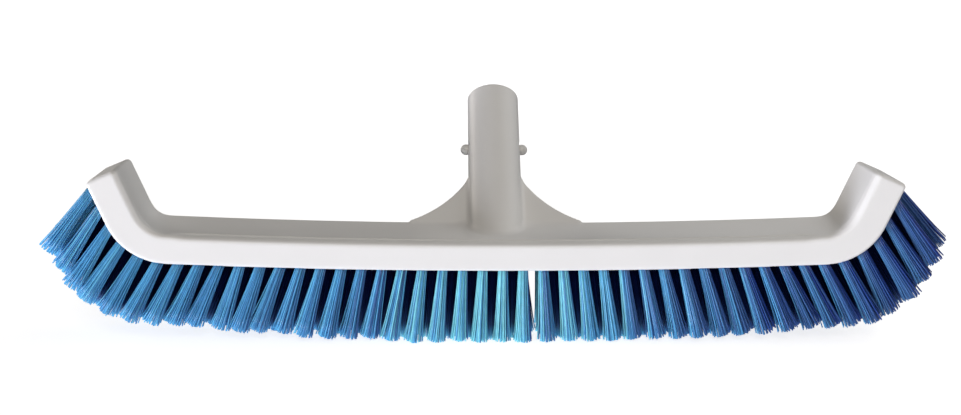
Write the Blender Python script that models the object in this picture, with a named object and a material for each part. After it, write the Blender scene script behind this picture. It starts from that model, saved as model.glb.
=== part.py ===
"""Pool wall brush: a bent, tufted block with a slanted handle socket and a snap clip.

Metres, +Z up. X runs along the brush, +Y is the side that the socket leans to.
The origin is under the middle of the whole brush, on the plane of the bristle tips.
"""

import math

import bmesh
import bpy
from mathutils import Matrix, Vector

MM = 0.001

# Block: a dished bar, bowed along its length, with both ends turned up
SPAN = 421.0 * MM            # over the outer corners of the turned-up ends
BOW_RADIUS = 4055.0 * MM     # of the long, slightly sagging middle
BEND_RADIUS = 34.0 * MM      # of the underside where an end turns up
ARM_ANGLE = math.radians(66.8)
ARM_STRAIGHT = 24.0 * MM     # straight length of a turned-up end
BLOCK_DEPTH = 43.0 * MM
BLOCK_HEIGHT = 15.5 * MM     # at the crest of the front rim
BACK_RISE = 1.3 * MM         # the back edge stands this much higher
RIM_WIDTH = 7.0 * MM         # from the front face to the crest
RIM_FALL = 0.7 * MM          # from the crest to the flat rim in front of it
RIM_SLOPE = 1.6 * MM         # depth of the slope between them
DISH_DEPTH = 1.2 * MM        # hollow of the top face behind the crest
TOP_FRONT_ROUND = 3.0 * MM
TOP_BACK_ROUND = 2.5 * MM
BOTTOM_ROUND = 1.6 * MM
END_ROUND = 1.5 * MM

# Bristles: tufts in staggered rows, held by slices that lie in a channel of the block
RANKS = 44
RANK_PITCH = 10.48 * MM
ROWS = 5
ROW_PITCH = 8.2 * MM
BRISTLE_LENGTH = 39.5 * MM
LEAN_AT_ENDS = math.radians(38.0)
TIP_CUT = 0.5 * MM           # the lowest tips are cut flat by this much
STRAND_LENGTHWISE = 1.7 * MM  # size of a strand's root along the brush
STRAND_CROSSWISE = 2.8 * MM   # and across it
STRAND_FLARE = 2.3           # size of a strand's tip against its root
STRAND_ROOT_GAP = 0.5 * MM   # between the two strands of a tuft
STRAND_TIP_GAP = 0.8 * MM
STRAND_SINK = 1.6 * MM       # how deep a strand is fused into its slice
SLICE_THICKNESS = 3.2 * MM
CHANNEL_WALL = 2.2 * MM      # left at the front and back of the channel
BARE_RANK = RANKS // 2 + 2   # its inner staggered tufts are missing, which leaves a gap

# Handle socket: a hollow tube that a pole slips over, with a gusset on each side
TUBE_ANGLE = math.radians(43.9)
TUBE_LENGTH = 86.0 * MM      # along the axis, from the block's top to the open end
TUBE_FOOT_Y = 19.1 * MM      # where the axis meets the block's top, from its middle
TUBE_ROOT_RADIUS = 14.6 * MM
TUBE_END_RADIUS = 14.4 * MM
TUBE_WALL = 2.6 * MM
TUBE_RIM_ROUND = 1.0 * MM
FOOT_LEVEL = 1.5 * MM        # underside of the tube's foot, above the block's underside
GUSSET_REACH = 46.5 * MM     # half width of the gussets at the block
GUSSET_HEIGHT = 29.4 * MM    # along the tube
GUSSET_THICKNESS = 4.0 * MM
GUSSET_EDGE_RADIUS = 64.5 * MM
GUSSET_TIP_HEIGHT = 1.8 * MM
GUSSET_EDGE_ROUND = 1.0 * MM

# Snap clip: a sprung V inside the tube, with a round button on each leg
CLIP_WIDTH = 8.0 * MM
CLIP_THICKNESS = 1.8 * MM
CLIP_BEND_RADIUS = 5.5 * MM  # outer radius of the V's bend
CLIP_LEVER = 36.0 * MM       # from the bend to the buttons, along the tube
CLIP_TAB = 5.0 * MM          # leg that is left past a button
BUTTON_HEIGHT_ON_TUBE = 50.0 * MM
BUTTON_RADIUS = 3.0 * MM
BUTTON_NECK_RADIUS = 2.6 * MM
BUTTON_PROUD = 4.3 * MM
BUTTON_SWING = 1.6 * MM      # a pressed button shifts this far along the tube

CLEARANCE = 0.3 * MM
CUT_MARGIN = 2.0 * MM        # cutters run this far past what they cut

# Fineness of the meshes
BOW_STEPS = 6
BEND_STEPS = 8
FILLET_STEPS = 3
ROUND_STEPS = 2
DISH_STEPS = 6
GUSSET_STEPS = 8
HALF_CIRCLE_STEPS = 10
DOME_STEPS = 6
TUBE_SIDES = 48
BUTTON_SIDES = 16
SMOOTH_ANGLE = math.radians(32)
FLAT_ANGLE = math.radians(0.1)  # faces that turn less than this are one flat face
FACING = 0.9                 # least share of a face's normal along the axis that it faces
WELD = 0.001 * MM

# Path of the underside, from the middle outwards
BOW_ANGLE = math.asin(
    (SPAN / 2 - BEND_RADIUS * math.sin(ARM_ANGLE) - ARM_STRAIGHT * math.cos(ARM_ANGLE))
    / (BOW_RADIUS - BEND_RADIUS)
)
BOW_RUN = BOW_RADIUS * BOW_ANGLE
BEND_RUN = BEND_RADIUS * (ARM_ANGLE - BOW_ANGLE)
HALF_RUN = BOW_RUN + BEND_RUN + ARM_STRAIGHT

# Derived places
BORE_RADIUS = TUBE_END_RADIUS - TUBE_WALL
TUBE_ALONG = Vector((0, math.cos(TUBE_ANGLE), math.sin(TUBE_ANGLE)))
TUBE_UP = Vector((0, -math.sin(TUBE_ANGLE), math.cos(TUBE_ANGLE)))
TUBE_ACROSS = Vector((1, 0, 0))
TUBE_REACH_Y = TUBE_FOOT_Y + TUBE_LENGTH * TUBE_ALONG.y - TUBE_END_RADIUS * TUBE_UP.y
RIM_REACH_Y = TUBE_REACH_Y - TUBE_RIM_ROUND * (TUBE_ALONG.y - TUBE_UP.y - 1)
TUBE_BURIED = 1.5 * TUBE_ROOT_RADIUS
GUSSET_BURIED = TUBE_BURIED / 2
THROUGH_TUBE = 4 * TUBE_ROOT_RADIUS
PLACE = Vector((0, -(RIM_REACH_Y - BLOCK_DEPTH / 2) / 2, BRISTLE_LENGTH - TIP_CUT))
CHANNEL_DEPTH = SLICE_THICKNESS + CLEARANCE
CHANNEL_HALF_WIDTH = BLOCK_DEPTH / 2 - CHANNEL_WALL
CHANNEL_HALF_RUN = RANKS * RANK_PITCH / 2
CLIP_BEND_AT = BUTTON_HEIGHT_ON_TUBE - CLIP_LEVER
BORE_BOTTOM = CLIP_BEND_AT - CLIP_BEND_RADIUS - CLEARANCE
CLIP_HINGE_ACROSS = CLIP_BEND_RADIUS - CLIP_THICKNESS / 2
LEG_END_ACROSS = (math.sqrt(BORE_RADIUS ** 2 - (CLIP_WIDTH / 2) ** 2)
                  - CLEARANCE - CLIP_THICKNESS / 2)
LEG_RUN = CLIP_LEVER + CLIP_TAB
LEG_TILT = math.atan2(LEG_END_ACROSS - CLIP_HINGE_ACROSS, LEG_RUN)


def clear_scene():
    for old in list(bpy.data.objects):
        bpy.data.objects.remove(old, do_unlink=True)


def new_collection(name):
    collection = bpy.data.collections.new(name)
    bpy.context.scene.collection.children.link(collection)
    return collection


def plastic(name, colour, roughness):
    material = bpy.data.materials.new(name)
    material.use_nodes = True
    shader = material.node_tree.nodes["Principled BSDF"]
    shader.inputs["Base Color"].default_value = (*colour, 1.0)
    shader.inputs["Roughness"].default_value = roughness
    shader.inputs["Metallic"].default_value = 0.0
    return material


def add_object(name, mesh, collection):
    thing = bpy.data.objects.new(name, mesh)
    collection.objects.link(thing)
    return thing


def mesh_of(bm, name):
    bmesh.ops.recalc_face_normals(bm, faces=bm.faces)
    mesh = bpy.data.meshes.new(name)
    bm.to_mesh(mesh)
    bm.free()
    return mesh


def add_cutter(name, mesh):
    cutter = add_object(name, mesh, CUTTERS)
    cutter.hide_render = True
    cutter.display_type = "WIRE"
    return cutter


def finish_part(part, material):
    part.data.materials.clear()
    part.data.materials.append(material)
    part.data.shade_smooth()
    part.data.set_sharp_from_angle(angle=SMOOTH_ANGLE)


def combine(part, other, operation):
    modifier = part.modifiers.new(operation.lower(), "BOOLEAN")
    modifier.operation = operation
    modifier.object = other
    modifier.solver = "EXACT"


def bake(part):
    """Replace an object's mesh by its evaluated one, and drop its modifiers."""
    graph = bpy.context.evaluated_depsgraph_get()
    mesh = bpy.data.meshes.new_from_object(part.evaluated_get(graph))
    part.modifiers.clear()
    part.data = mesh


def solid_of(name, points, thickness):
    """A flat outline, extruded evenly to both sides of its plane."""
    curve = bpy.data.curves.new(name, "CURVE")
    curve.dimensions = "2D"
    curve.fill_mode = "BOTH"
    curve.extrude = thickness / 2
    spline = curve.splines.new("POLY")
    spline.points.add(len(points) - 1)
    for spot, (x, y) in zip(spline.points, points):
        spot.co = (x, y, 0, 1)
    spline.use_cyclic_u = True
    holder = add_object(name, curve, CUTTERS)
    graph = bpy.context.evaluated_depsgraph_get()
    mesh = bpy.data.meshes.new_from_object(holder.evaluated_get(graph))
    bpy.data.objects.remove(holder)
    bm = bmesh.new()
    bm.from_mesh(mesh)
    bmesh.ops.remove_doubles(bm, verts=bm.verts, dist=WELD)
    bmesh.ops.dissolve_limit(bm, angle_limit=FLAT_ANGLE, verts=[], edges=bm.edges)
    return bm


def round_edges(bm, edges, radius):
    bmesh.ops.bevel(bm, geom=edges, offset=radius, segments=ROUND_STEPS, profile=0.5, affect="EDGES")


def arc(centre, start, end, steps):
    """Points round a centre, from start to end by the shorter way."""
    spoke = start - centre
    sweep = -spoke.angle_signed(end - centre)
    points = []
    for k in range(steps + 1):
        points.append(centre + Matrix.Rotation(sweep * k / steps, 2) @ spoke)
    return points


def rounded_corner(corner, before, after, radius, steps):
    """Points of the fillet of one corner of an outline."""
    corner, before, after = Vector(corner), Vector(before), Vector(after)
    to_before = (before - corner).normalized()
    to_after = (after - corner).normalized()
    half = to_before.angle(to_after) / 2
    centre = corner + (to_before + to_after).normalized() * radius / math.sin(half)
    reach = radius / math.tan(half)
    return arc(centre, corner + to_before * reach, corner + to_after * reach, steps)


def arc_between(start, end, radius, steps):
    """Points of an arc that bends to the left of the way from start to end."""
    start, end = Vector(start), Vector(end)
    way = end - start
    rise = math.sqrt(radius ** 2 - (way.length / 2) ** 2)
    right = Vector((way.y, -way.x)).normalized()
    return arc((start + end) / 2 + right * rise, start, end, steps)


def spine(run):
    """Place and slope of the block's underside, a distance along it from the middle."""
    side = math.copysign(1, run)
    run = abs(run)
    slope = min(run, BOW_RUN) / BOW_RADIUS
    x = BOW_RADIUS * math.sin(slope)
    z = BOW_RADIUS * (1 - math.cos(slope))
    if run > BOW_RUN:
        slope = BOW_ANGLE + min(run - BOW_RUN, BEND_RUN) / BEND_RADIUS
        x += BEND_RADIUS * (math.sin(slope) - math.sin(BOW_ANGLE))
        z += BEND_RADIUS * (math.cos(BOW_ANGLE) - math.cos(slope))
    straight = max(0, run - BOW_RUN - BEND_RUN)
    x += straight * math.cos(ARM_ANGLE)
    z += straight * math.sin(ARM_ANGLE)
    return side * x, z, side * slope


def bend(bm):
    """Bend what was modelled straight along X onto the path of the underside."""
    for vert in bm.verts:
        run, y, height = vert.co
        x, z, slope = spine(run)
        vert.co = PLACE + Vector((x - math.sin(slope) * height, y, z + math.cos(slope) * height))


def bend_stations():
    """Runs at which the straight block is cut across before it is bent."""
    half = [BOW_RUN * k / BOW_STEPS for k in range(1, BOW_STEPS + 1)]
    half += [BOW_RUN + BEND_RUN * k / BEND_STEPS for k in range(1, BEND_STEPS + 1)]
    return [-run for run in half] + [0.0] + half


def cut_across(bm, runs):
    for run in runs:
        bmesh.ops.bisect_plane(
            bm, geom=bm.verts[:] + bm.edges[:] + bm.faces[:], dist=WELD,
            plane_co=(run, 0, 0), plane_no=(1, 0, 0),
        )


def block_section(grow):
    """Outline of the block across its length: a front rim, a dished top and rounded edges."""
    half = BLOCK_DEPTH / 2 + grow
    top_front = (-half, BLOCK_HEIGHT - RIM_FALL + grow)
    crest = Vector((RIM_WIDTH - BLOCK_DEPTH / 2, BLOCK_HEIGHT + grow))
    rim_back = crest - Vector((RIM_SLOPE, RIM_FALL))
    top_back = Vector((half, BLOCK_HEIGHT + BACK_RISE + grow))
    bottom_front = (-half, -grow)
    bottom_back = (half, -grow)
    dish = []
    for k in range(DISH_STEPS):
        share = k / DISH_STEPS
        drop = Vector((0, -4 * DISH_DEPTH * share * (1 - share)))
        dish.append(crest.lerp(top_back, share) + drop)
    front = rounded_corner(top_front, bottom_front, rim_back, TOP_FRONT_ROUND + grow, FILLET_STEPS)
    back = rounded_corner(top_back, dish[-1], bottom_back, TOP_BACK_ROUND + grow, FILLET_STEPS)
    low_back = rounded_corner(bottom_back, top_back, bottom_front, BOTTOM_ROUND + grow, ROUND_STEPS)
    low_front = rounded_corner(bottom_front, bottom_back, top_front, BOTTOM_ROUND + grow, ROUND_STEPS)
    return front + [rim_back] + dish + back + low_back + low_front


def straight_block(name, half_run, grow):
    """The block's section run straight along X."""
    bm = solid_of(name, block_section(grow), 2 * half_run)
    section_to_world = Matrix(((0, 0, 1), (1, 0, 0), (0, 1, 0))).to_4x4()
    bmesh.ops.transform(bm, matrix=section_to_world, verts=bm.verts)
    return bm


def rim_edges(bm, axis):
    """Edges round the two flat ends of an extruded outline, which face along an axis."""
    bm.normal_update()
    rim = []
    for edge in bm.edges:
        flat = [abs(face.normal[axis]) > FACING for face in edge.link_faces]
        if any(flat) and not all(flat):
            rim.append(edge)
    return rim


def box(bm, low, high):
    low, high = Vector(low), Vector(high)
    size = high - low
    place = Matrix.Translation((low + high) / 2) @ Matrix.Diagonal((*size, 1))
    bmesh.ops.create_cube(bm, size=1.0, matrix=place)


def make_block():
    bm = straight_block("brush_block", HALF_RUN, 0)
    round_edges(bm, rim_edges(bm, 0), END_ROUND)
    block = add_object("brush_block", mesh_of(bm, "brush_block"), PARTS)
    channel = bmesh.new()
    box(channel,
        (-CHANNEL_HALF_RUN, -CHANNEL_HALF_WIDTH, -CUT_MARGIN),
        (CHANNEL_HALF_RUN, CHANNEL_HALF_WIDTH, CHANNEL_DEPTH))
    cutter = add_cutter("channel_cutter", mesh_of(channel, "channel_cutter"))
    combine(block, cutter, "DIFFERENCE")
    bake(block)
    bpy.data.objects.remove(cutter)
    bm = bmesh.new()
    bm.from_mesh(block.data)
    cut_across(bm, bend_stations())
    bend(bm)
    block.data = mesh_of(bm, "brush_block")
    finish_part(block, WHITE)


def lean_at(run):
    """How far a tuft leans out of the vertical: the tufts fan out evenly."""
    return LEAN_AT_ENDS * run / CHANNEL_HALF_RUN


def add_strand(bm, run, y, side):
    """One four-sided strand of a tuft, from inside its slice to its tip."""
    x, z, slope = spine(run)
    lean = lean_at(run)
    tangent = Vector((math.cos(slope), 0, math.sin(slope)))
    along = Vector((math.cos(lean), 0, math.sin(lean)))
    down = Vector((math.sin(lean), 0, -math.cos(lean)))
    tip_size = STRAND_LENGTHWISE * STRAND_FLARE
    hole = PLACE + Vector((x, y, z))
    root = hole + tangent * side * (STRAND_LENGTHWISE + STRAND_ROOT_GAP) / 2
    tip = hole + down * BRISTLE_LENGTH + along * side * (tip_size + STRAND_TIP_GAP) / 2
    axis = (tip - root).normalized()
    root -= axis * STRAND_SINK
    across = Vector((0, -1, 0))
    frame = Matrix((across.cross(axis), across, axis)).transposed().to_4x4()
    square_to_axes = Matrix.Rotation(math.radians(45), 4, "Z")
    shape = Matrix.Diagonal((STRAND_LENGTHWISE, STRAND_CROSSWISE, 1, 1))
    unit_square_radius = math.sqrt(0.5)
    bmesh.ops.create_cone(
        bm, cap_ends=True, segments=4, depth=(tip - root).length,
        radius1=unit_square_radius, radius2=unit_square_radius * STRAND_FLARE,
        matrix=Matrix.Translation((root + tip) / 2) @ frame @ shape @ square_to_axes,
    )


def trim_tips(bm):
    """Cut the lowest tips flat on the plane that the brush stands on."""
    cut = bmesh.ops.bisect_plane(
        bm, geom=bm.verts[:] + bm.edges[:] + bm.faces[:], dist=WELD,
        plane_co=(0, 0, 0), plane_no=(0, 0, -1), clear_outer=True,
    )
    edges = [item for item in cut["geom_cut"] if isinstance(item, bmesh.types.BMEdge)]
    bmesh.ops.holes_fill(bm, edges=edges, sides=0)


def make_rank(number):
    """One slice of the backing with its zigzag of tufts."""
    middle = (number - (RANKS + 1) / 2) * RANK_PITCH
    name = f"tuft_rank_{number:02d}"
    bm = bmesh.new()
    half_run = (RANK_PITCH - CLEARANCE) / 2
    half_width = CHANNEL_HALF_WIDTH - CLEARANCE
    box(bm, (middle - half_run, -half_width, 0), (middle + half_run, half_width, SLICE_THICKNESS))
    cut_across(bm, [middle])
    bend(bm)
    rank = add_object(name, mesh_of(bm, name), PARTS)
    strands = bmesh.new()
    for row in range(ROWS):
        inner = row % 2 == 1
        if inner and number == BARE_RANK:
            continue
        run = middle + (RANK_PITCH / 4 if inner else -RANK_PITCH / 4)
        for side in (-1, 1):
            add_strand(strands, run, (row - (ROWS - 1) / 2) * ROW_PITCH, side)
    trim_tips(strands)
    tufts = add_cutter(f"{name}_strands", mesh_of(strands, f"{name}_strands"))
    combine(rank, tufts, "UNION")
    bake(rank)
    bpy.data.objects.remove(tufts)
    finish_part(rank, BLUE)


def tube_matrix(height):
    """Frame of the tube: X across it, Y towards its underside, Z along its axis."""
    axes = Matrix((TUBE_ACROSS, -TUBE_UP, TUBE_ALONG)).transposed().to_4x4()
    foot = PLACE + Vector((0, TUBE_FOOT_Y, BLOCK_HEIGHT))
    return Matrix.Translation(foot + TUBE_ALONG * height) @ axes


def make_socket():
    bm = bmesh.new()
    run = TUBE_BURIED + TUBE_LENGTH
    bmesh.ops.create_cone(
        bm, cap_ends=True, segments=TUBE_SIDES, depth=run,
        radius1=TUBE_ROOT_RADIUS, radius2=TUBE_END_RADIUS,
        matrix=Matrix.Translation((0, 0, TUBE_LENGTH - run / 2)),
    )
    rim = [e for e in rim_edges(bm, 2) if e.verts[0].co.z > 0]
    round_edges(bm, rim, TUBE_RIM_ROUND)
    bmesh.ops.transform(bm, matrix=tube_matrix(0), verts=bm.verts)
    socket = add_object("handle_socket", mesh_of(bm, "handle_socket"), PARTS)
    combine(socket, add_cutter("gussets", gussets()), "UNION")

    seat = straight_block("block_seat", GUSSET_REACH + TUBE_BURIED, CLEARANCE)
    cut_across(seat, [station for station in bend_stations() if abs(station) < GUSSET_REACH])
    bend(seat)
    combine(socket, add_cutter("block_seat", mesh_of(seat, "block_seat")), "DIFFERENCE")

    below = bmesh.new()
    far = Vector((THROUGH_TUBE, THROUGH_TUBE, 0))
    box(below, PLACE - far - Vector((0, 0, THROUGH_TUBE)), PLACE + far + Vector((0, 0, FOOT_LEVEL)))
    combine(socket, add_cutter("below_foot", mesh_of(below, "below_foot")), "DIFFERENCE")

    bore = bmesh.new()
    depth = TUBE_LENGTH + CUT_MARGIN - BORE_BOTTOM
    bmesh.ops.create_cone(
        bore, cap_ends=True, segments=TUBE_SIDES, depth=depth,
        radius1=BORE_RADIUS, radius2=BORE_RADIUS,
        matrix=tube_matrix(BORE_BOTTOM + depth / 2),
    )
    combine(socket, add_cutter("bore", mesh_of(bore, "bore")), "DIFFERENCE")
    combine(socket, add_cutter("button_slots", button_slots()), "DIFFERENCE")
    finish_part(socket, WHITE)


def gussets():
    """One plate in the tube's middle plane, with a hollow free edge on each side."""
    right = arc_between((GUSSET_REACH, GUSSET_TIP_HEIGHT), (TUBE_ROOT_RADIUS, GUSSET_HEIGHT),
                        GUSSET_EDGE_RADIUS, GUSSET_STEPS)
    left = [Vector((-p.x, p.y)) for p in reversed(right)]
    feet = [Vector((-GUSSET_REACH, -GUSSET_BURIED)), Vector((GUSSET_REACH, -GUSSET_BURIED))]
    plate = solid_of("gussets", right + left + feet, GUSSET_THICKNESS)
    round_edges(plate, rim_edges(plate, 2), GUSSET_EDGE_ROUND)
    plate_to_tube = Matrix.Rotation(math.radians(90), 4, "X")
    bmesh.ops.transform(plate, matrix=tube_matrix(0) @ plate_to_tube, verts=plate.verts)
    return mesh_of(plate, "gussets")


def half_circle(radius):
    """Points of the lower half of a circle, from left to right."""
    turns = [math.pi * (1 + k / HALF_CIRCLE_STEPS) for k in range(HALF_CIRCLE_STEPS + 1)]
    return [Vector((radius * math.cos(turn), radius * math.sin(turn))) for turn in turns]


def button_slots():
    """A short slot right through the tube, long enough for a swinging button."""
    low = half_circle(BUTTON_RADIUS + CLEARANCE)
    high = [Vector((-p.x, BUTTON_SWING - p.y)) for p in low]
    bm = solid_of("button_slots", low + high, THROUGH_TUBE)
    outline_to_tube = Matrix(((0, 0, 1), (1, 0, 0), (0, 1, 0))).to_4x4()
    place = tube_matrix(BUTTON_HEIGHT_ON_TUBE) @ outline_to_tube
    bmesh.ops.transform(bm, matrix=place, verts=bm.verts)
    return mesh_of(bm, "button_slots")


def make_clip_bend():
    """The rounded bottom of the V, which stands on the bottom of the bore."""
    outside = half_circle(CLIP_BEND_RADIUS)
    inside = half_circle(CLIP_BEND_RADIUS - CLIP_THICKNESS)
    bm = solid_of("v_clip_bend", outside + inside[::-1], CLIP_WIDTH)
    flat_to_tube = Matrix.Rotation(math.radians(90), 4, "X")
    place = tube_matrix(CLIP_BEND_AT - CLEARANCE) @ flat_to_tube
    bmesh.ops.transform(bm, matrix=place, verts=bm.verts)
    clip = add_object("v_clip_bend", mesh_of(bm, "v_clip_bend"), PARTS)
    finish_part(clip, CLIP)


def clip_button(name):
    """A ball on a short neck, turned about X, which rises out of the leg."""
    start = math.tan(LEG_TILT) * CLIP_LEVER
    ball_at = TUBE_END_RADIUS + BUTTON_PROUD - CLIP_HINGE_ACROSS - BUTTON_RADIUS
    first = -math.acos(BUTTON_NECK_RADIUS / BUTTON_RADIUS)
    outline = [(start, 0.0), (start, BUTTON_NECK_RADIUS)]
    for k in range(DOME_STEPS + 1):
        angle = first + (math.pi / 2 - first) * k / DOME_STEPS
        outline.append((ball_at + BUTTON_RADIUS * math.sin(angle), BUTTON_RADIUS * math.cos(angle)))
    bm = bmesh.new()
    verts = [bm.verts.new((along, radius, 0)) for along, radius in outline]
    for a, b in zip(verts, verts[1:]):
        bm.edges.new((a, b))
    bmesh.ops.spin(bm, geom=bm.verts[:] + bm.edges[:], axis=(1, 0, 0), cent=(0, 0, 0),
                   dvec=(0, 0, 0), angle=2 * math.pi, steps=BUTTON_SIDES, use_merge=True)
    bmesh.ops.remove_doubles(bm, verts=bm.verts, dist=WELD)
    bmesh.ops.translate(bm, vec=(0, 0, CLIP_LEVER), verts=bm.verts)
    return mesh_of(bm, name)


def make_clip_leg(name, side):
    """One leg of the V with its button. Its origin lies on the line that it bends about."""
    leg_length = LEG_RUN / math.cos(LEG_TILT)
    bm = bmesh.new()
    box(bm, (-CLIP_THICKNESS / 2, -CLIP_WIDTH / 2, 0), (CLIP_THICKNESS / 2, CLIP_WIDTH / 2, leg_length))
    bmesh.ops.transform(bm, matrix=Matrix.Rotation(LEG_TILT, 4, "Y"), verts=bm.verts)
    leg = add_object(name, mesh_of(bm, name), PARTS)
    dome = add_cutter(f"{name}_button", clip_button(f"{name}_button"))
    combine(leg, dome, "UNION")
    bake(leg)
    bpy.data.objects.remove(dome)
    if side < 0:
        leg.data.transform(Matrix.Rotation(math.pi, 4, "Z"))
    leg.matrix_world = tube_matrix(CLIP_BEND_AT) @ Matrix.Translation((side * CLIP_HINGE_ACROSS, 0, 0))
    finish_part(leg, CLIP)


clear_scene()
PARTS = new_collection("pool_wall_brush")
CUTTERS = new_collection("cutters")
WHITE = plastic("white_plastic", (0.84, 0.84, 0.83), 0.42)
CLIP = plastic("clip_plastic", (0.74, 0.74, 0.73), 0.38)
BLUE = plastic("blue_bristle", (0.03, 0.24, 0.55), 0.45)

make_block()
make_socket()
make_clip_bend()
make_clip_leg("v_clip_left_leg", -1)
make_clip_leg("v_clip_right_leg", 1)
for rank_number in range(1, RANKS + 1):
    make_rank(rank_number)
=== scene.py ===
"""Pool wall brush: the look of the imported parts, their studio and the camera.

Shapes are worked out in millimetres from the middle of the block's underside and placed
in the frame's metres when they become meshes. The studio and the camera are in metres.
"""

import math

import bpy
import numpy as np
from mathutils import Matrix, Vector


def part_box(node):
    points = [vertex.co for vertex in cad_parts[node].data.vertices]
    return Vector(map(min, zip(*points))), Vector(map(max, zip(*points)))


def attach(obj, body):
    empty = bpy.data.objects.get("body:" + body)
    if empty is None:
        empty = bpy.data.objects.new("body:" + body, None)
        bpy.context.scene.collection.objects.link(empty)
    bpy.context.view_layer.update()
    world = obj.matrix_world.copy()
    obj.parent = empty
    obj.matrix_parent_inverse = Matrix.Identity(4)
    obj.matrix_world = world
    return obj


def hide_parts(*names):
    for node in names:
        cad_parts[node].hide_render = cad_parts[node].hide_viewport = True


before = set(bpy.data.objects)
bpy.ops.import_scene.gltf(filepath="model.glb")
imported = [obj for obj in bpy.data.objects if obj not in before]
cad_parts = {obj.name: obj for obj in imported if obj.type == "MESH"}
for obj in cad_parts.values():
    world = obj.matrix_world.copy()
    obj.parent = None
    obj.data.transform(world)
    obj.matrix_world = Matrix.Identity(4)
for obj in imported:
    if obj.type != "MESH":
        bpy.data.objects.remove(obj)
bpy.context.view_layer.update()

MM = 0.001

# Block: a dished bar, bowed along its length, with both ends turned up
SPAN = 421.0
BOW_RADIUS = 4055.0
BEND_RADIUS = 34.0
ARM_ANGLE = math.radians(66.8)
ARM_STRAIGHT = 24.0
BLOCK_DEPTH = 43.0
BLOCK_HEIGHT = 15.5
BACK_RISE = 1.3
RIM_WIDTH = 7.0
RIM_FALL = 0.7
RIM_SLOPE = 1.0
RIM_FADE = 12.0
DISH_DEPTH = 1.2
ARM_FRONT_RISE = 1.3
ARM_BACK_FALL = 0.6
BEND_DIP = 1.2
TOP_FRONT_ROUND = 3.0
TOP_BACK_ROUND = 2.5
BOTTOM_ROUND = 1.6
END_ROUND = 2.4
END_DRAFT = 1.0

# Handle socket
TUBE_ANGLE = math.radians(43.9)
TUBE_LENGTH = 86.0
TUBE_FOOT_Y = 19.1
TUBE_ROOT_RADIUS = 14.6
TUBE_END_RADIUS = 14.4
TUBE_WALL = 2.6
TUBE_RIM_ROUND = 1.2
FOOT_LEVEL = 1.5
FOOT_ROUND = 1.5
GUSSET_REACH = 46.5
GUSSET_HEIGHT = 29.4
GUSSET_THICKNESS = 4.0
GUSSET_EDGE_RADIUS = 64.5
GUSSET_TIP_HEIGHT = 1.8
GUSSET_EDGE_ROUND = 1.0
GUSSET_ROOT = 10.0
GUSSET_FILLET = 1.2
FOOT_FILLET = 2.5
TUBE_FILLET = 2.2
FOOT_FADE = 8.0
BORE_EDGE_ROUND = 0.9

# Snap clip
CLIP_WIDTH = 8.0
CLIP_THICKNESS = 1.8
CLIP_BEND_RADIUS = 5.5
CLIP_LEVER = 36.0
CLIP_TAB = 5.0
CLIP_ROUND = 0.5
BUTTON_HEIGHT_ON_TUBE = 50.0
BUTTON_RADIUS = 3.0
BUTTON_NECK_RADIUS = 2.6
BUTTON_PROUD = 4.3
BUTTON_SWING = 1.6
CLEARANCE = 0.3

# Bristles
RANKS = 44
RANK_PITCH = 10.48
STAGGER = RANK_PITCH / 4
BARE_RANK = RANKS // 2 + 2
ROWS = 5
ROW_PITCH = 8.2
BRISTLE_LENGTH = 39.5
TIP_CUT = 0.5
LEAN_AT_ENDS = math.radians(38.0)
TUFT_ROOT_RADIUS = 2.35
STAGGERED_ROOT_RADIUS = 2.7
TUFT_TIP_RADIUS = 4.5
TIP_DOME = 1.4
FLARE_POWER = 1.1
TIP_SPLAY = 0.2
SPLAY_POWER = 8
FILAMENTS = 44
FILAMENT_RADIUS = 0.32
FILAMENT_RINGS = 6
FILAMENT_SIDES = 4
FILAMENT_SINK = 1.0
GOLDEN_ANGLE = math.pi * (3 - math.sqrt(5))

# Scatter of the bristles
SEED = 7
LEAN_SCATTER = math.radians(1.2)
TIP_SCATTER = 0.25
TUFT_LENGTH_SCATTER = 0.008
FILAMENT_LENGTH_SCATTER = 0.18

# Changes along the brush, by places from -1 at the left end of the tufts to 1 at the right
END_BULK = 0.14
END_BULK_REACH = 0.6
LEFT_TRIM = 3.6
RIGHT_TRIM = 1.4
TRIM_AT = 0.72
TRIM_SPREAD = 0.33
TRIM_FADE = 0.2

# Tones of the filaments, from 0 for the darkest blue to 1, by the same places. Besides a random
# scatter they hold painted light: lighter to the left and darker to the right, a painted highlight
# about the middle, painted shade towards the right end and on the right side of each tuft, and
# painted shade on the tufts behind others
MIDDLE_TONE = 0.50
PAINTED_FALLOFF = 0.14
TONE_SCATTER = 0.07
HIGHLIGHT_FROM = -0.33
HIGHLIGHT_RISE = 0.22
HIGHLIGHT_TO = 0.45
HIGHLIGHT_FALL = 0.45
PAINTED_HIGHLIGHT_TONE = 0.36
PAINTED_HIGHLIGHT_SCATTER = 0.20
RIGHT_SHADE_FROM = 0.35
RIGHT_SHADE_RISE = 0.45
PAINTED_RIGHT_SHADE_TONE = 0.11
# Painted shade on the right side of each tuft
SIDE_SHADE = 0.22
SIDE_SHADE_FROM = -1.0
SIDE_SHADE_RISE = 1.2
# How fast the painted shade on the tufts behind others fades out towards their tips
PAINTED_SHADE_TIP_POWER = 4

# Mesh fineness
BODY_STEP = 1.25
HANDLE_STEP = 0.8
CLIP_STEP = 0.5
MARGIN_STEPS = 2
RIM_LINES = 10
RIM_LINES_BEFORE = 1.25 * RIM_SLOPE
RIM_LINES_BEHIND = 0.25 * RIM_SLOPE
RIM_GAP = 0.2
PROJECTIONS = 4
PROBE = 0.01
LEAST_STEEPNESS = 0.1

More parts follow.
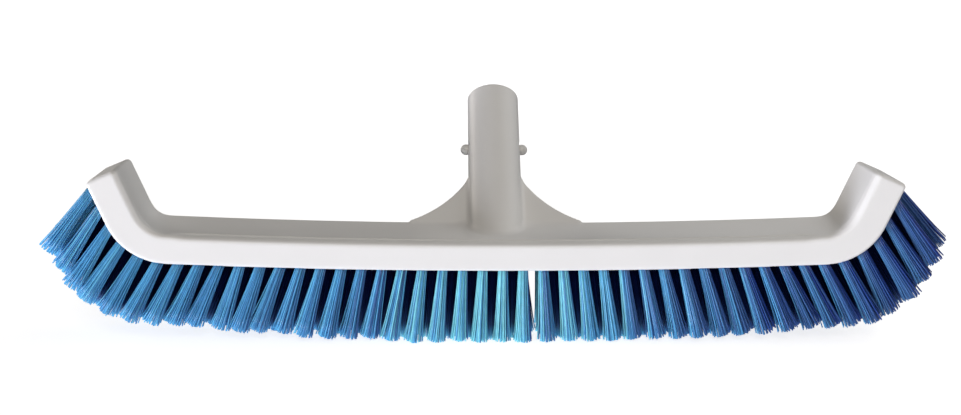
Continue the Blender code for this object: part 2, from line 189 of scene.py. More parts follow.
# Plastics
WHITE = (0.85, 0.85, 0.845)
CLIP_WHITE = (0.76, 0.76, 0.75)
CLOUD_SCALE = 28.0
CLOUD_DETAIL = 4.0
CLOUD_FROM = 0.3
CLOUD_TO = 0.7
SPECK_SCALE = 55.0
SPECK_SIZE = 0.035
SPECK_COLOUR = (0.32, 0.28, 0.24, 1.0)
GLOSS_CHANGE = 0.06
GRAIN_SCALE = 900.0
GRAIN_DETAIL = 2.0
GRAIN_STRENGTH = 0.06
GRAIN_HEIGHT = 0.3 * MM

# Bristle nylon, with its blues by tone; the tone carries painted highlight and painted shade as
# well as each filament's own scatter
BLUES = (
    (0.0, (0.008, 0.036, 0.300)),
    (0.38, (0.068, 0.180, 0.450)),
    (0.62, (0.105, 0.435, 0.790)),
    (1.0, (0.28, 0.84, 0.96)),
)
STREAK_SCALE = 240.0
STREAK_DETAIL = 3.0
STREAK_DARK = 0.75
STREAK_LIGHT = 1.15
# Painted shade for the tufts behind others: their colour and sheen are scaled from OPEN_SHADE down
# to HIDDEN_SHADE
OPEN_SHADE = 1.0
HIDDEN_SHADE = 0.15
NYLON_SHEEN = 0.60
NYLON_ROUGHNESS = 0.30

# Floor and backdrop
FLOOR_HALF = 20.0
FLOOR_ROUGHNESS = 0.9
FLOOR_FADE_FROM = 0.3
FLOOR_FADE_TO = 0.9
FLOOR_NEAR = (0.62, 0.62, 0.62)
FLOOR_FAR = (0.55, 0.55, 0.55)
FLOOR_NEAR_GLOW = 0.80
FLOOR_FAR_GLOW = 1.0
PURE_WHITE = (1.0, 1.0, 1.0, 1.0)
SKY_STRENGTH = 0.02
BACKDROP_STRENGTH = 1.0

# Lamps: name, place, level and colour. The floor throws no shadow, so two stand below it
LAMP_AIM = (0.0, 0.0, 0.05)
LAMP_WIDTH = 1.6
LAMP_HEIGHT = 1.2
NEUTRAL = (1.0, 1.0, 1.0)
COOL = (0.965, 0.975, 1.06)
WARM = (1.08, 1.0, 0.90)
LAMPS = (
    ("key", (-3.0, -1.2, -0.9), 1.106, COOL),
    ("low_front", (0.0, -2.6, -2.2), 0.38, COOL),
    ("high_front", (0.0, -2.8, 1.9), 0.290, WARM),
    ("over_right", (0.8, 0.0, 0.9), 0.291, NEUTRAL),
    ("back_right", (0.7, 0.8, 0.7), 0.195, NEUTRAL),
    ("back_left", (-2.2, 2.3, 1.0), 0.178, WARM),
)

# Camera, fitted to the edges in the photograph
CAMERA_PLACE = (-0.0323, -0.7997, 0.2371)
CAMERA_PITCH = math.radians(12.44)
CAMERA_YAW = math.radians(1.751)
CAMERA_ROLL = math.radians(0.501)
SENSOR_WIDTH = 36.0
FOCAL_PIXELS = 1487.63
PHOTO_WIDTH = 961

# Path of the underside, from the middle outwards
BOW_ANGLE = math.asin(
    (SPAN / 2 - BEND_RADIUS * math.sin(ARM_ANGLE) - ARM_STRAIGHT * math.cos(ARM_ANGLE))
    / (BOW_RADIUS - BEND_RADIUS)
)
BOW_RUN = BOW_RADIUS * BOW_ANGLE
BEND_RUN = BEND_RADIUS * (ARM_ANGLE - BOW_ANGLE)
HALF_RUN = BOW_RUN + BEND_RUN + ARM_STRAIGHT
BEND_X = (BOW_RADIUS - BEND_RADIUS) * math.sin(BOW_ANGLE)
BEND_Z = BOW_RADIUS - (BOW_RADIUS - BEND_RADIUS) * math.cos(BOW_ANGLE)
ARM_X = BEND_X + BEND_RADIUS * math.sin(ARM_ANGLE)
ARM_Z = BEND_Z - BEND_RADIUS * math.cos(ARM_ANGLE)
TUFTED_HALF_RUN = RANKS * RANK_PITCH / 2
CREST_Y = RIM_WIDTH - BLOCK_DEPTH / 2

# Places on the tube
TUBE_ALONG = np.array((0.0, math.cos(TUBE_ANGLE), math.sin(TUBE_ANGLE)))
TUBE_UP = np.array((0.0, -math.sin(TUBE_ANGLE), math.cos(TUBE_ANGLE)))
TUBE_FOOT = np.array((0.0, TUBE_FOOT_Y, BLOCK_HEIGHT))
BORE_RADIUS = TUBE_END_RADIUS - TUBE_WALL
CLIP_BEND_AT = BUTTON_HEIGHT_ON_TUBE - CLIP_LEVER
BORE_BOTTOM = CLIP_BEND_AT - CLIP_BEND_RADIUS - CLEARANCE
CLIP_HINGE_ACROSS = CLIP_BEND_RADIUS - CLIP_THICKNESS / 2
LEG_END_ACROSS = (math.sqrt(BORE_RADIUS ** 2 - (CLIP_WIDTH / 2) ** 2)
                  - CLEARANCE - CLIP_THICKNESS / 2)
LEG_RUN = CLIP_LEVER + CLIP_TAB
LEG_TILT = math.atan2(LEG_END_ACROSS - CLIP_HINGE_ACROSS, LEG_RUN)
LEG_LENGTH = LEG_RUN / math.cos(LEG_TILT)
BUTTON_CENTRE = TUBE_END_RADIUS + BUTTON_PROUD - CLIP_HINGE_ACROSS - BUTTON_RADIUS

# Middle of the block's underside in the frame
block_low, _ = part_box("brush_block")
PLACE = np.array((0.0, block_low[1] / MM + BLOCK_DEPTH / 2, BRISTLE_LENGTH - TIP_CUT))

# The other two axes for each axis of a grid, and the corners of a square in order round it
OTHER_AXES = ((1, 2), (0, 2), (0, 1))
AROUND = ((0, 0), (1, 0), (1, 1), (0, 1))


# Fields: distance to a surface, negative inside

def both(a, b, radius):
    """Space that lies in two shapes, with the edge between them rounded."""
    edge = np.hypot(np.maximum(a + radius, 0), np.maximum(b + radius, 0))
    return np.minimum(np.maximum(a, b), -radius) + edge


def either(a, b, radius):
    """Space that lies in one of two shapes, with a fillet between them."""
    return -both(-a, -b, radius)


def smooth(share):
    """Even rise from 0 to 1."""
    share = np.clip(share, 0, 1)
    return share * share * (3 - 2 * share)


def path_place(x, z):
    """Run along the underside from the middle, and height over it."""
    x = np.abs(x)
    bow = np.arctan2(x, BOW_RADIUS - z)
    run = BOW_RADIUS * bow
    height = BOW_RADIUS - np.hypot(x, BOW_RADIUS - z)
    turn = np.arctan2(x - BEND_X, BEND_Z - z)
    turn = np.where(turn < -math.pi / 2, turn + 2 * math.pi, turn)
    in_bend = bow > BOW_ANGLE
    run = np.where(in_bend, BOW_RUN + BEND_RADIUS * (turn - BOW_ANGLE), run)
    height = np.where(in_bend, BEND_RADIUS - np.hypot(x - BEND_X, z - BEND_Z), height)
    in_arm = in_bend & (turn > ARM_ANGLE)
    out_x = x - ARM_X
    out_z = z - ARM_Z
    along = out_x * math.cos(ARM_ANGLE) + out_z * math.sin(ARM_ANGLE)
    above = out_z * math.cos(ARM_ANGLE) - out_x * math.sin(ARM_ANGLE)
    run = np.where(in_arm, BOW_RUN + BEND_RUN + along, run)
    return run, np.where(in_arm, above, height)


def top_height(run, y):
    """Height of the block's top face: a front rim, its slope, a dish and a higher back edge."""
    share = np.clip((y - CREST_Y) / (BLOCK_DEPTH / 2 - CREST_Y), 0, 1)
    dish = BLOCK_HEIGHT + BACK_RISE * share - 4 * DISH_DEPTH * share * (1 - share)
    turned = np.clip((run - BOW_RUN) / BEND_RUN, 0, 1)
    dish += smooth(turned) * (ARM_FRONT_RISE - (ARM_FRONT_RISE + ARM_BACK_FALL) * share)
    dish -= BEND_DIP * share * np.sin(math.pi * turned) ** 2
    soft = smooth((run - BOW_RUN + RIM_FADE) / RIM_FADE)
    slope_depth = RIM_SLOPE + (RIM_WIDTH - RIM_SLOPE) * soft
    return dish - RIM_FALL * (1 - soft) * smooth((CREST_Y - y) / slope_depth)


def block_field(p):
    """The bar along its path, a little shorter at the back than in front."""
    run, height = path_place(p[:, 0], p[:, 2])
    y = p[:, 1]
    field = both(height - top_height(run, y), -y - BLOCK_DEPTH / 2, TOP_FRONT_ROUND)
    field = both(field, y - BLOCK_DEPTH / 2, TOP_BACK_ROUND)
    field = both(field, -height, BOTTOM_ROUND)
    end = HALF_RUN - END_DRAFT * (y / BLOCK_DEPTH + 0.5)
    return both(field, run - end, END_ROUND)


def tube_place(p):
    """Place along the tube's axis, across it and up out of it."""
    out = p - TUBE_FOOT
    return out @ TUBE_ALONG, p[:, 0], out @ TUBE_UP


def tube_field(p):
    """The tube without its bore, down into the block."""
    along, across, up = tube_place(p)
    taper = (TUBE_END_RADIUS - TUBE_ROOT_RADIUS) / TUBE_LENGTH
    outside = np.hypot(across, up) - (TUBE_ROOT_RADIUS + taper * along)
    tube = both(outside, along - TUBE_LENGTH, TUBE_RIM_ROUND)
    return both(tube, FOOT_LEVEL - p[:, 2], FOOT_ROUND)


def gusset_edge(across, along):
    """Distance past the hollow free edge of a gusset."""
    start = np.array((GUSSET_REACH, GUSSET_TIP_HEIGHT))
    end = np.array((TUBE_ROOT_RADIUS, GUSSET_HEIGHT))
    way = end - start
    chord = np.hypot(*way)
    rise = math.sqrt(GUSSET_EDGE_RADIUS ** 2 - (chord / 2) ** 2)
    centre = (start + end) / 2 + np.array((way[1], -way[0])) / chord * rise
    return GUSSET_EDGE_RADIUS - np.hypot(np.abs(across) - centre[0], along - centre[1])


def gusset_field(p):
    """Both gussets: one plate through the tube's axis, with hollow free edges."""
    along, across, up = tube_place(p)
    plate = both(np.abs(up) - GUSSET_THICKNESS / 2, gusset_edge(across, along), GUSSET_EDGE_ROUND)
    plate = both(plate, np.abs(across) - GUSSET_REACH, GUSSET_EDGE_ROUND)
    plate = both(plate, -along - GUSSET_ROOT, GUSSET_EDGE_ROUND)
    return both(plate, along - GUSSET_HEIGHT, GUSSET_EDGE_ROUND)


def body_field(p):
    """The whole white moulding: block, tube and gussets, with the bore and its slots."""
    along, across, up = tube_place(p)
    handle = either(tube_field(p), gusset_field(p), TUBE_FILLET)
    outwards = smooth((np.abs(across) - TUBE_ROOT_RADIUS) / FOOT_FADE)
    fillet = FOOT_FILLET + (GUSSET_FILLET - FOOT_FILLET) * outwards
    field = either(block_field(p), handle, fillet)
    bore = np.maximum(np.hypot(across, up) - BORE_RADIUS, BORE_BOTTOM - along)
    field = both(field, -bore, BORE_EDGE_ROUND)
    past = along - BUTTON_HEIGHT_ON_TUBE
    slot = np.hypot(past - np.clip(past, 0, BUTTON_SWING), up) - BUTTON_RADIUS - CLEARANCE
    return both(field, -slot, BORE_EDGE_ROUND)


def clip_bend_field(p):
    """The lower half of a ring, which joins the clip's legs."""
    along, across, up = tube_place(p)
    along = along - (CLIP_BEND_AT - CLEARANCE)
    ring = np.abs(np.hypot(across, along) - CLIP_HINGE_ACROSS) - CLIP_THICKNESS / 2
    ring = both(ring, np.abs(up) - CLIP_WIDTH / 2, CLIP_ROUND)
    return np.maximum(ring, along)


def clip_leg_field(side):
    """Field of the leg on one side, -1 for left and 1 for right: a strip with a domed button."""
    def field(p):
        along, across, up = tube_place(p)
        along = along - CLIP_BEND_AT
        across = side * across - CLIP_HINGE_ACROSS
        lift = across * math.cos(LEG_TILT) - along * math.sin(LEG_TILT)
        reach = along * math.cos(LEG_TILT) + across * math.sin(LEG_TILT)
        leg = both(np.abs(lift) - CLIP_THICKNESS / 2, np.abs(up) - CLIP_WIDTH / 2, CLIP_ROUND)
        leg = both(leg, np.abs(reach - LEG_LENGTH / 2) - LEG_LENGTH / 2, CLIP_ROUND)
        aside = np.hypot(along - CLIP_LEVER, up)
        ball = np.hypot(aside, across - BUTTON_CENTRE) - BUTTON_RADIUS
        neck = np.maximum(aside - BUTTON_NECK_RADIUS, np.maximum(-lift, across - BUTTON_CENTRE))
        return either(leg, either(neck, ball, CLIP_ROUND), CLIP_ROUND)
    return field


# Meshes of fields

def grid_lines(low, high, step):
    """Even grid lines along each axis, from a low corner to past a high one."""
    return [np.arange(a, b + step, step) for a, b in zip(low, high)]


def closer_lines(lines, between, gap):
    """Grid lines with closer ones put in, and the old lines there left out."""
    away = (lines < between[0] - gap) | (lines > between[-1] + gap)
    return np.sort(np.concatenate((lines[away], between)))


def slope_of(field, p):
    """Steepest way up a field."""
    slope = np.empty_like(p)
    for axis in range(3):
        step = np.zeros(3)
        step[axis] = PROBE
        slope[:, axis] = (field(p + step) - field(p - step)) / (2 * PROBE)
    return slope


def cell_points(grid, value):
    """A point in each cell that the zero level crosses, and each cell's number, or -1."""
    cells = tuple(n - 1 for n in value.shape)

    def corner(array, shift):
        return array[tuple(slice(s, s + n) for s, n in zip(shift, cells))]

    total = np.zeros(cells + (3,))
    count = np.zeros(cells)
    for axis, (one, two) in enumerate(OTHER_AXES):
        for shift_one, shift_two in AROUND:
            start = [0, 0, 0]
            start[one] = shift_one
            start[two] = shift_two
            end = list(start)
            end[axis] = 1
            a = corner(value, start)
            b = corner(value, end)
            crossed = (a < 0) != (b < 0)
            share = np.where(crossed, a / np.where(crossed, a - b, 1), 0)
            spot = corner(grid, start).copy()
            spot[..., axis] += share * (corner(grid, end) - spot)[..., axis]
            total += np.where(crossed[..., None], spot, 0)
            count += crossed
    used = count > 0
    points = total[used] / count[used][:, None]
    number = np.full(cells, -1)
    number[used] = np.arange(len(points))
    return points, number


def cell_quads(value, number):
    """A quad of cell points round each grid edge that the zero level crosses, facing out."""
    cells = number.shape
    quads = []
    for axis, (one, two) in enumerate(OTHER_AXES):
        here = [slice(1, n) for n in cells]
        here[axis] = slice(0, cells[axis])
        ahead = list(here)
        ahead[axis] = slice(1, cells[axis] + 1)
        a = value[tuple(here)]
        b = value[tuple(ahead)]
        crossed = np.argwhere((a < 0) != (b < 0))
        faces_out = a[tuple(crossed.T)] < 0
        # Seen along y, the square from x to z turns the other way
        if axis == 1:
            faces_out = ~faces_out
        corners = []
        for shift_one, shift_two in AROUND:
            cell = crossed.copy()
            cell[:, one] += shift_one
            cell[:, two] += shift_two
            corners.append(number[tuple(cell.T)])
        quad = np.stack(corners, axis=1)
        quad[~faces_out] = quad[~faces_out][:, ::-1]
        quads.append(quad)
    return np.concatenate(quads)


def settle(field, points):
    """Points moved along the steepest way onto the zero level."""
    for _ in range(PROJECTIONS):
        slope = slope_of(field, points)
        steepness = np.maximum((slope ** 2).sum(axis=1), LEAST_STEEPNESS)
        points = points - slope * (field(points) / steepness)[:, None]
    return points


def new_mesh(name, points, quads):
    """Mesh of points in millimetres from the block's underside."""
    mesh = bpy.data.meshes.new(name)
    places = (points + PLACE) * MM
    mesh.vertices.add(len(places))
    mesh.vertices.foreach_set("co", places.astype(np.float32).ravel())
    mesh.loops.add(quads.size)
    mesh.loops.foreach_set("vertex_index", quads.astype(np.int32).ravel())
    mesh.polygons.add(len(quads))
    mesh.polygons.foreach_set("loop_start", np.arange(0, quads.size, 4, dtype=np.int32))
    mesh.update(calc_edges=True)
    mesh.validate()
    mesh.shade_smooth()
    return mesh


def field_mesh(name, field, sides):
    """Mesh of a field's zero level on a grid, with the field's own normals."""
    grid = np.stack(np.meshgrid(*sides, indexing="ij"), axis=-1)
    value = field(grid.reshape(-1, 3)).reshape(grid.shape[:3])
    points, number = cell_points(grid, value)
    points = settle(field, points)
    mesh = new_mesh(name, points, cell_quads(value, number))
    normals = slope_of(field, points)
    normals /= np.linalg.norm(normals, axis=1)[:, None]
    mesh.normals_split_custom_set_from_vertices(normals.astype(np.float32))
    return mesh


# Bristle tufts

def spine(run):
    """Place and slope of the underside, a distance along it from the middle."""
    side = math.copysign(1, run)
    run = abs(run)
    slope = min(run, BOW_RUN) / BOW_RADIUS
    x = BOW_RADIUS * math.sin(slope)
    z = BOW_RADIUS * (1 - math.cos(slope))
    if run > BOW_RUN:
        slope = BOW_ANGLE + min(run - BOW_RUN, BEND_RUN) / BEND_RADIUS
        x = BEND_X + BEND_RADIUS * math.sin(slope)
        z = BEND_Z - BEND_RADIUS * math.cos(slope)
    straight = max(0, run - BOW_RUN - BEND_RUN)
    x += straight * math.cos(ARM_ANGLE)
    z += straight * math.sin(ARM_ANGLE)
    return side * x, z, side * slope


def filament_disc(turn):
    """Places of a tuft's filaments, spread evenly over a disc of radius 1."""
    number = np.arange(FILAMENTS) + 0.5
    spread = np.sqrt(number / FILAMENTS)
    angle = number * GOLDEN_ANGLE + turn
    return np.stack((spread * np.cos(angle), spread * np.sin(angle)), axis=1)


def cut_at_floor(lines):
    """Lines made shorter where they would end below the floor."""
    below = np.minimum(lines[:, -1, 2] + PLACE[2], 0)
    reach = lines[:, -1, 2] - lines[:, 0, 2]
    shorter = 1 - below / reach
    return lines[:, :1] + (lines - lines[:, :1]) * shorter[:, None, None]


def tuft(rng, run, y, root_radius, tip_radius, trim):
    """Middle lines of one tuft's filaments, and how far each lies to the right in it."""
    x, z, slope = spine(run)
    root = np.array((x, y, z))
    lean = LEAN_AT_ENDS * run / TUFTED_HALF_RUN + rng.normal(0, LEAN_SCATTER)
    tip_over = rng.normal(0, LEAN_SCATTER)
    tangent = np.array((math.cos(slope), 0, math.sin(slope)))
    down = np.array((math.sin(lean), math.sin(tip_over), -math.cos(lean)))
    side = np.array((math.cos(lean), 0, math.sin(lean)))
    across = np.array((0.0, 1.0, 0.0))
    disc = filament_disc(rng.uniform(0, 2 * math.pi))
    root_disc = disc * root_radius
    tip_disc = disc * tip_radius + rng.normal(0, TIP_SCATTER, disc.shape)
    length = BRISTLE_LENGTH * (1 + rng.normal(0, TUFT_LENGTH_SCATTER))
    length = length + rng.normal(0, FILAMENT_LENGTH_SCATTER, FILAMENTS)
    length -= trim + TIP_DOME * (disc ** 2).sum(axis=1)
    share = np.linspace(0, 1, FILAMENT_RINGS)
    flare = share ** FLARE_POWER + TIP_SPLAY * share ** SPLAY_POWER
    lines = np.empty((FILAMENTS, FILAMENT_RINGS, 3))
    for k in range(FILAMENT_RINGS):
        disc_here = root_disc * (1 - flare[k]) + tip_disc * flare[k]
        axis_here = tangent * (1 - share[k]) + side * share[k]
        travel = -FILAMENT_SINK * (1 - share[k]) + length * share[k]
        lines[:, k] = (root + down * travel[:, None]
                       + axis_here * disc_here[:, :1] + across * disc_here[:, 1:])
    return cut_at_floor(lines), disc[:, 0]


def tip_trim(place):
    """How much shorter the tufts are at a place along the brush."""
    trim = LEFT_TRIM if place < 0 else RIGHT_TRIM
    bell = math.exp(-((abs(place) - TRIM_AT) / TRIM_SPREAD) ** 2)
    return trim * bell * smooth((1 - abs(place)) / TRIM_FADE)


def tuft_tones(rng, place, aside):
    """Tone of each filament: a random scatter with painted light on it, lighter to the left, a
    painted highlight about the middle, and painted shade towards the right end and on the right
    side of a tuft.
    """
    painted_highlight = smooth((place - HIGHLIGHT_FROM) / HIGHLIGHT_RISE) * smooth((HIGHLIGHT_TO - place) / HIGHLIGHT_FALL)
    painted_right_shade = smooth((place - RIGHT_SHADE_FROM) / RIGHT_SHADE_RISE)
    # Painted light: falling off from left to right, with a painted highlight about the middle and
    # painted shade near the right end
    painted_light_tone = MIDDLE_TONE - PAINTED_FALLOFF * place + PAINTED_HIGHLIGHT_TONE * painted_highlight - PAINTED_RIGHT_SHADE_TONE * painted_right_shade
    # The scatter is wider in the painted highlight, for pale and deep streaks
    tones = rng.normal(painted_light_tone, TONE_SCATTER + PAINTED_HIGHLIGHT_SCATTER * painted_highlight, FILAMENTS)
    # Painted shade on the right side of each tuft
    tones -= SIDE_SHADE * aside * smooth((place - SIDE_SHADE_FROM) / SIDE_SHADE_RISE)
    return np.clip(tones, 0, 1)


def rod_quads():
    """Quads of one filament: four walls along its rings and a cap at each end."""
    ring_start = np.arange(FILAMENT_RINGS)[:, None] * FILAMENT_SIDES
    around = np.arange(FILAMENT_SIDES)
    after = (around + 1) % FILAMENT_SIDES
    walls = np.stack((ring_start[:-1] + around, ring_start[:-1] + after,
                      ring_start[1:] + after, ring_start[1:] + around), axis=-1).reshape(-1, 4)
    root_cap = around[None, ::-1]
    tip_cap = (ring_start[-1] + around)[None]
    return np.concatenate((walls, root_cap, tip_cap))


def filament_mesh(name, lines, tones, painted_shade_on):
    """Thin four-sided rods along the lines, with a tone and painted shade on the tufts behind
    others, fading out at their tips.
    """
    way = lines[:, -1] - lines[:, 0]
    way /= np.linalg.norm(way, axis=1)[:, None]
    one = np.cross(way, (0.0, 1.0, 0.0))
    one /= np.linalg.norm(one, axis=1)[:, None]
    two = np.cross(way, one)
    angles = np.arange(FILAMENT_SIDES) * 2 * math.pi / FILAMENT_SIDES
    cosines = np.cos(angles)[None, :, None]
    sines = np.sin(angles)[None, :, None]
    spokes = one[:, None] * cosines + two[:, None] * sines
    points = lines[:, :, None] + FILAMENT_RADIUS * spokes[:, None]
    count = len(lines)
    each = FILAMENT_RINGS * FILAMENT_SIDES
    quads = (np.arange(count)[:, None, None] * each + rod_quads()[None]).reshape(-1, 4)
    mesh = new_mesh(name, points.reshape(-1, 3), quads)
    reach = np.tile(np.repeat(np.linspace(0, 1, FILAMENT_RINGS), FILAMENT_SIDES), count)
    # Painted shade: tufts behind others are darker but for their tips, and their tone is pulled
    # towards the darkest blue
    painted_shade = np.repeat(painted_shade_on, each) * (1 - reach ** PAINTED_SHADE_TIP_POWER)
    for label, values in (("tone", np.repeat(tones, each) * (1 - painted_shade)), ("painted_shade", painted_shade)):
        layer = mesh.attributes.new(label, "FLOAT", "POINT")
        layer.data.foreach_set("value", values.astype(np.float32))
    return mesh


# Materials

def new_material(name):
    """A material, its node tree and its shader."""
    material = bpy.data.materials.new(name)
    material.use_nodes = True
    tree = material.node_tree
    return material, tree, tree.nodes["Principled BSDF"]


def set_inputs(tree, node, inputs):
    """Give a node's inputs their values, or link them to the sockets given."""
    for key, value in inputs.items():
        if isinstance(value, bpy.types.NodeSocket):
            tree.links.new(value, node.inputs[key])
        else:
            node.inputs[key].default_value = value


def add_node(tree, kind, inputs, **settings):
    """A new node with its settings and inputs."""
    node = tree.nodes.new(kind)
    for key, setting in settings.items():
        setattr(node, key, setting)
    set_inputs(tree, node, inputs)
    return node


def calculate(tree, operation, first, second):
    """Result of an operation on two numbers or sockets."""
    node = add_node(tree, "ShaderNodeMath", {0: first, 1: second}, operation=operation)
    return node.outputs[0]


def noise(tree, place, scale, detail):
    """Values of a cloudy pattern."""
    node = add_node(tree, "ShaderNodeTexNoise", {"Vector": place, "Scale": scale, "Detail": detail})
    return node.outputs["Fac"]


def map_range(tree, value, low, high):
    """A value from 0 to 1 turned into one from low to high."""
    node = add_node(tree, "ShaderNodeMapRange", {"Value": value, "To Min": low, "To Max": high})
    return node.outputs["Result"]


def colour_ramp(tree, value, stops):
    """Colour of a value between stops, each a position and a colour."""
    node = add_node(tree, "ShaderNodeValToRGB", {"Fac": value})
    elements = node.color_ramp.elements
    for element, (position, colour) in zip(elements, (stops[0], stops[-1])):
        element.position = position
        element.color = (*colour, 1)
    for position, colour in stops[1:-1]:
        elements.new(position).color = (*colour, 1)
    return node.outputs["Color"]


def object_place(tree):
    """Place of a point in its object."""
    return add_node(tree, "ShaderNodeTexCoord", {}).outputs["Object"]


def speck_mask(tree, place, share):
    """1 in the middle of some cells of a pattern, a share of all, and 0 elsewhere."""
    cells = add_node(tree, "ShaderNodeTexVoronoi", {"Vector": place, "Scale": SPECK_SCALE})
    near = calculate(tree, "LESS_THAN", cells.outputs["Distance"], SPECK_SIZE)
    pick = add_node(tree, "ShaderNodeSeparateColor", {"Color": cells.outputs["Color"]})
    few = calculate(tree, "LESS_THAN", pick.outputs["Red"], share)
    return calculate(tree, "MULTIPLY", near, few)


def plastic(name, colour, clouding, roughness, speck_share):
    """Moulded plastic: faint clouding, a few specks, uneven gloss and a fine grain."""
    material, tree, shader = new_material(name)
    place = object_place(tree)
    clouds = noise(tree, place, CLOUD_SCALE, CLOUD_DETAIL)
    clouded = [channel * (1 - clouding) for channel in colour]
    tint = colour_ramp(tree, clouds, ((CLOUD_FROM, clouded), (CLOUD_TO, colour)))
    specks = speck_mask(tree, place, speck_share)
    mixed = {"Factor": specks, "A": tint, "B": SPECK_COLOUR}
    mix = add_node(tree, "ShaderNodeMix", mixed, data_type="RGBA")
    grain = noise(tree, place, GRAIN_SCALE, GRAIN_DETAIL)
    raised = {"Height": grain, "Strength": GRAIN_STRENGTH, "Distance": GRAIN_HEIGHT}
    bump = add_node(tree, "ShaderNodeBump", raised)
    set_inputs(tree, shader, {
        "Base Color": mix.outputs["Result"],
        "Roughness": map_range(tree, clouds, roughness - GLOSS_CHANGE, roughness + GLOSS_CHANGE),
        "Normal": bump.outputs["Normal"],
    })
    return material


def bristle_material():
    """Blue nylon: each filament has its own tone, and the tufts behind others have painted shade,
    darker and with less sheen, but for their tips.
    """
    material, tree, shader = new_material("blue_bristle")
    tone = add_node(tree, "ShaderNodeAttribute", {}, attribute_name="tone")
    blues = colour_ramp(tree, tone.outputs["Fac"], BLUES)
    streaks = noise(tree, object_place(tree), STREAK_SCALE, STREAK_DETAIL)
    shade = map_range(tree, streaks, STREAK_DARK, STREAK_LIGHT)
    painted_shade = add_node(tree, "ShaderNodeAttribute", {}, attribute_name="painted_shade")
    # Painted shade scales the colour down on the tufts behind others
    painted_shade_factor = map_range(tree, painted_shade.outputs["Fac"], OPEN_SHADE, HIDDEN_SHADE)
    streaks_and_painted_shade = calculate(tree, "MULTIPLY", shade, painted_shade_factor)
    scaled = add_node(tree, "ShaderNodeVectorMath", {0: blues, "Scale": streaks_and_painted_shade}, operation="SCALE")
    set_inputs(tree, shader, {
        "Base Color": scaled.outputs["Vector"],
        # Painted shade also takes away sheen
        "Specular IOR Level": calculate(tree, "MULTIPLY", painted_shade_factor, NYLON_SHEEN),
        "Roughness": NYLON_ROUGHNESS,
    })
    return material


def floor_material():
    """Pale floor: white to the camera but for the shadow, grey to the light it throws back."""
    material, tree, shader = new_material("floor")
    far = add_node(tree, "ShaderNodeVectorMath", {0: object_place(tree)}, operation="LENGTH")
    faded = {"Value": far.outputs["Value"], "From Min": FLOOR_FADE_FROM, "From Max": FLOOR_FADE_TO}
    fade = add_node(tree, "ShaderNodeMapRange", faded, interpolation_type="SMOOTHSTEP")
    farness = fade.outputs["Result"]
    glow = map_range(tree, farness, FLOOR_NEAR_GLOW, FLOOR_FAR_GLOW)
    rays = add_node(tree, "ShaderNodeLightPath", {})
    set_inputs(tree, shader, {
        "Base Color": colour_ramp(tree, farness, ((0.0, FLOOR_NEAR), (1.0, FLOOR_FAR))),
        "Roughness": FLOOR_ROUGHNESS,
        "Specular IOR Level": 0.0,
        "Emission Color": PURE_WHITE,
        "Emission Strength": calculate(tree, "MULTIPLY", rays.outputs["Is Camera Ray"], glow),
    })
    return material


# Pieces

def add_object(name, data):
    """A new object in the scene."""
    thing = bpy.data.objects.new(name, data)
    bpy.context.scene.collection.objects.link(thing)
    return thing


def add_piece(name, mesh, material, body, nodes):
    """Show a mesh in place of the nodes that it stands for."""
    mesh.materials.append(material)
    piece = add_object(name, mesh)
    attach(piece, body)
    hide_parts(*nodes)


def node_box(node, margin):
    """Corners of a node's box in millimetres from the block's underside, with a margin."""
    low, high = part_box(node)
    return np.array(low) / MM - PLACE - margin, np.array(high) / MM - PLACE + margin


def body_grid():
    """Grid lines for the moulding, closer at the rim's slope and round the handle."""
    margin = MARGIN_STEPS * BODY_STEP
    _, (_, high_y, high_z) = node_box("handle_socket", margin)
    low = np.array((-SPAN / 2, -BLOCK_DEPTH / 2, 0)) - margin
    lines = grid_lines(low, (SPAN / 2 + margin, high_y, high_z), BODY_STEP)
    rim_lines = CREST_Y + np.linspace(-RIM_LINES_BEFORE, RIM_LINES_BEHIND, RIM_LINES)
    lines[1] = closer_lines(lines[1], rim_lines, RIM_GAP)
    handle_low = np.array((-GUSSET_REACH, TUBE_FOOT_Y, BLOCK_HEIGHT)) - margin
    handle_high = (GUSSET_REACH + margin, high_y, high_z)
    for axis, handle_lines in enumerate(grid_lines(handle_low, handle_high, HANDLE_STEP)):
        lines[axis] = closer_lines(lines[axis], handle_lines, HANDLE_STEP / 2)
    return lines


def add_body(material):
    """The moulding: block and handle socket in one."""
    mesh = field_mesh("moulded_body", body_field, body_grid())
    nodes = ["brush_block", "handle_socket"]
    add_piece("moulded_body", mesh, material, "brush", nodes)


def add_clip(material):
    """The snap clip: its bend, and a leg with a button on each side."""
    pieces = (
        ("v_clip_bend", clip_bend_field, "brush"),
        ("v_clip_left_leg", clip_leg_field(-1), "left_clip_leg"),
        ("v_clip_right_leg", clip_leg_field(1), "right_clip_leg"),
    )
    for node, field, body in pieces:
        low, high = node_box(node, MARGIN_STEPS * CLIP_STEP)
        mesh = field_mesh(f"smooth_{node}", field, grid_lines(low, high, CLIP_STEP))
        add_piece(f"smooth_{node}", mesh, material, body, [node])


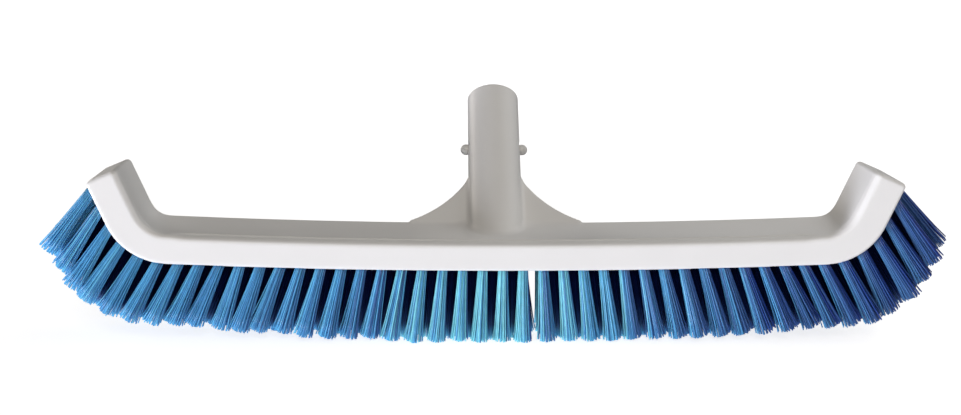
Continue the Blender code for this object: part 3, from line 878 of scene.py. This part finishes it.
def add_rank(rng, rank, material):
    """One rank of tufts across the block. The tufts that others hide are marked for painted shade.
    """
    middle = (rank - (RANKS + 1) / 2) * RANK_PITCH
    lines = []
    tones = []
    painted_shade_on = []
    for row in range(ROWS):
        staggered = row % 2 == 1
        if staggered and rank == BARE_RANK:
            continue
        run = middle + (STAGGER if staggered else -STAGGER)
        y = (row - (ROWS - 1) / 2) * ROW_PITCH
        place = run / TUFTED_HALF_RUN
        bulk = 1 + END_BULK * smooth(abs(place) / END_BULK_REACH)
        root_radius = bulk * (STAGGERED_ROOT_RADIUS if staggered else TUFT_ROOT_RADIUS)
        tip_radius = bulk * TUFT_TIP_RADIUS
        tuft_lines, aside = tuft(rng, run, y, root_radius, tip_radius, tip_trim(place))
        lines.append(tuft_lines)
        tones.append(tuft_tones(rng, place, aside))
        open_sided = rank in (1, RANKS) or (rank == BARE_RANK + 1 and not staggered)
        # Tufts behind others get painted shade
        behind_others = 0 < row < ROWS - 1 and not open_sided
        painted_shade_on.append(np.full(FILAMENTS, float(behind_others)))
    name = f"filaments_{rank:02d}"
    mesh = filament_mesh(name, np.concatenate(lines), np.concatenate(tones), np.concatenate(painted_shade_on))
    add_piece(name, mesh, material, "brush", [f"tuft_rank_{rank:02d}"])


add_body(plastic("white_plastic", WHITE, clouding=0.02, roughness=0.40, speck_share=0.02))
add_clip(plastic("clip_plastic", CLIP_WHITE, clouding=0.03, roughness=0.36, speck_share=0.0))
nylon = bristle_material()
bristle_rng = np.random.default_rng(SEED)
for rank_number in range(1, RANKS + 1):
    add_rank(bristle_rng, rank_number, nylon)


# Studio

def add_floor():
    """A wide floor that throws no shadow."""
    mesh = bpy.data.meshes.new("floor")
    corners = [((2 * a - 1) * FLOOR_HALF, (2 * b - 1) * FLOOR_HALF, 0) for a, b in AROUND]
    mesh.from_pydata(corners, [], [(0, 1, 2, 3)])
    mesh.materials.append(floor_material())
    plane = add_object("floor", mesh)
    plane.visible_shadow = False
    return plane


def add_lamp(name, place, level, colour):
    """A soft lamp, by the brightness of a white face turned to it at its aim, where 1 is white."""
    way = Vector(LAMP_AIM) - Vector(place)
    lamp = bpy.data.lights.new(name, "AREA")
    lamp.shape = "RECTANGLE"
    lamp.size = LAMP_WIDTH
    lamp.size_y = LAMP_HEIGHT
    lamp.color = colour
    lamp.energy = level * math.pi ** 2 * way.length_squared
    light = add_object(name, lamp)
    light.location = place
    light.rotation_euler = way.to_track_quat("-Z", "Y").to_euler()
    light.visible_camera = False


def add_backdrop():
    """A world that is white to the camera and gives little light."""
    world = bpy.data.worlds.new("studio")
    bpy.context.scene.world = world
    world.use_nodes = True
    tree = world.node_tree
    sky = tree.nodes["Background"]
    set_inputs(tree, sky, {"Color": PURE_WHITE, "Strength": SKY_STRENGTH})
    shown = {"Color": PURE_WHITE, "Strength": BACKDROP_STRENGTH}
    backdrop = add_node(tree, "ShaderNodeBackground", shown)
    rays = add_node(tree, "ShaderNodeLightPath", {})
    mixed = {
        "Fac": rays.outputs["Is Camera Ray"],
        1: sky.outputs["Background"],
        2: backdrop.outputs["Background"],
    }
    mix = add_node(tree, "ShaderNodeMixShader", mixed)
    set_inputs(tree, tree.nodes["World Output"], {"Surface": mix.outputs["Shader"]})


def add_camera():
    """The camera of the photograph."""
    camera_data = bpy.data.cameras.new("camera")
    camera_data.sensor_width = SENSOR_WIDTH
    camera_data.lens = FOCAL_PIXELS * SENSOR_WIDTH / PHOTO_WIDTH
    camera = add_object("camera", camera_data)
    turn = (Matrix.Rotation(-CAMERA_YAW, 4, "Z")
            @ Matrix.Rotation(math.pi / 2 - CAMERA_PITCH, 4, "X")
            @ Matrix.Rotation(CAMERA_ROLL, 4, "Z"))
    camera.matrix_world = Matrix.Translation(CAMERA_PLACE) @ turn
    bpy.context.scene.camera = camera


floor = add_floor()
for lamp_settings in LAMPS:
    add_lamp(*lamp_settings)
add_backdrop()
add_camera()
bpy.context.scene.view_settings.view_transform = "Standard"
